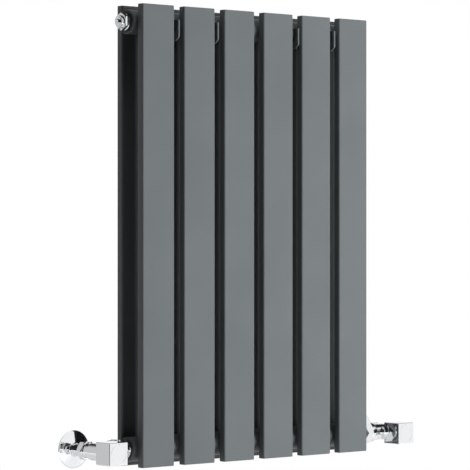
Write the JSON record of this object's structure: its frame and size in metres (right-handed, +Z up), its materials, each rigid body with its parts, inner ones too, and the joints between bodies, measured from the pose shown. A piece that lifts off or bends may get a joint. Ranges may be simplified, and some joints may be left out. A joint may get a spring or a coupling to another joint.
{
  "type": "double flat-panel radiator with angled valves",
  "caption": "Two rows of upright flat tubes on round collectors, hung on hooked wall brackets, with square-headed angled valves and a bleed plug.",
  "frame": {"origin": "middle of the four slots of the two upper wall brackets, in the wall plane", "axes": "+Z up, the radiator faces -Y, the wall is the plane Y = 0 and +Y goes into it, +X to the right seen from the front"},
  "size_m": [0.588, 0.1273, 0.637],
  "materials": {
    "satin_grey_enamel": "satin powder coat",
    "bracket_enamel": "satin powder coat",
    "bright_chrome": "polished chrome plate",
    "turned_brass": "turned",
    "zinc_steel": "zinc plated",
    "black_rubber": "moulded",
    "red_fibre": "pressed fibre",
    "black_nylon": "moulded"
  },
  "bodies": {
    "radiator": {"blanking_plug": "bright_chrome", "blanking_seal": "black_rubber", "collector_end_bosses": "satin_grey_enamel", "front_end_caps": "satin_grey_enamel", "front_panel_1": "satin_grey_enamel", "front_panel_2": "satin_grey_enamel", "front_panel_3": "satin_grey_enamel", "front_panel_4": "satin_grey_enamel", "front_panel_5": "satin_grey_enamel", "front_panel_6": "satin_grey_enamel", "left_bonnet": "turned_brass", "left_compression_nut": "bright_chrome", "left_olive": "turned_brass", "left_pipe": "bright_chrome", "left_tailpiece": "bright_chrome", "left_union_nut": "bright_chrome", "left_valve_body": "bright_chrome", "lower_bracket_left": "bracket_enamel", "lower_bracket_right": "bracket_enamel", "lower_collector": "satin_grey_enamel", "lower_collector_pads": "black_nylon", "rear_end_caps": "satin_grey_enamel", "rear_panel_1": "satin_grey_enamel", "rear_panel_2": "satin_grey_enamel", "rear_panel_3": "satin_grey_enamel", "rear_panel_4": "satin_grey_enamel", "rear_panel_5": "satin_grey_enamel", "rear_panel_6": "satin_grey_enamel", "right_bonnet": "turned_brass", "right_compression_nut": "bright_chrome", "right_olive": "turned_brass", "right_pipe": "bright_chrome", "right_tailpiece": "bright_chrome", "right_union_nut": "bright_chrome", "right_valve_body": "bright_chrome", "tail_washers": "red_fibre", "upper_bracket_left": "bracket_enamel", "upper_bracket_right": "bracket_enamel", "upper_collector": "satin_grey_enamel", "upper_collector_pads": "black_nylon", "vent_body": "bright_chrome", "vent_seal": "black_rubber", "water_nipples": "satin_grey_enamel"},
    "left_jumper": {"left_jumper": "turned_brass", "left_jumper_washer": "black_rubber"},
    "left_knob": {"left_spindle": "turned_brass", "left_spindle_seals": "black_rubber", "left_knob": "bright_chrome", "left_knob_screw": "zinc_steel", "left_knob_disc": "bright_chrome"},
    "right_jumper": {"right_jumper": "turned_brass", "right_jumper_washer": "black_rubber"},
    "right_spindle": {"right_spindle": "turned_brass", "right_spindle_seals": "black_rubber"},
    "right_cap": {"right_lockshield_cap": "bright_chrome"},
    "bleed_nozzle": {"vent_nozzle": "bright_chrome"},
    "bleed_screw": {"vent_screw": "bright_chrome"},
    "left_wall_plate": {"left_wall_plate": "bright_chrome"},
    "right_wall_plate": {"right_wall_plate": "bright_chrome"}
  },
  "joints": [
    {"name": "left_jumper_lift", "type": "slide", "parent": "radiator", "child": "left_jumper", "axis": [0, -1, 0], "range_m": [0, 0.00359]},
    {"name": "left_knob_turn", "type": "hinge", "parent": "left_jumper", "child": "left_knob", "pos_m": [-0.271, -0.051, -0.566], "axis": [0, -1, 0], "range_deg": [0, 1035]},
    {"name": "right_jumper_lift", "type": "slide", "parent": "radiator", "child": "right_jumper", "axis": [0, -1, 0], "range_m": [0, 0.00359]},
    {"name": "right_spindle_turn", "type": "hinge", "parent": "right_jumper", "child": "right_spindle", "pos_m": [0.265, -0.051, -0.566], "axis": [0, -1, 0], "range_deg": [0, 1035]},
    {"name": "right_cap_pull", "type": "slide", "parent": "radiator", "child": "right_cap", "axis": [0, -1, 0], "range_m": [0, 0.028]},
    {"name": "bleed_nozzle_swivel", "type": "hinge", "parent": "radiator", "child": "bleed_nozzle", "pos_m": [-0.2306, -0.051, 0.021], "axis": [-1, 0, 0], "range_deg": [-180, 180]},
    {"name": "bleed_screw_turn", "type": "hinge", "parent": "radiator", "child": "bleed_screw", "pos_m": [-0.2306, -0.051, 0.021], "axis": [-1, 0, 0], "range_deg": [0, 270]},
    {"name": "left_plate_slide", "type": "slide", "parent": "radiator", "child": "left_wall_plate", "axis": [0, -1, 0], "range_m": [0, 0.015]},
    {"name": "right_plate_slide", "type": "slide", "parent": "radiator", "child": "right_wall_plate", "axis": [0, -1, 0], "range_m": [0, 0.015]}
  ],
  "couplings": [
    {"joint": "left_knob_turn", "follows": "left_jumper_lift", "rad_per_m": 5026.5},
    {"joint": "right_spindle_turn", "follows": "right_jumper_lift", "rad_per_m": 5026.5}
  ]
}
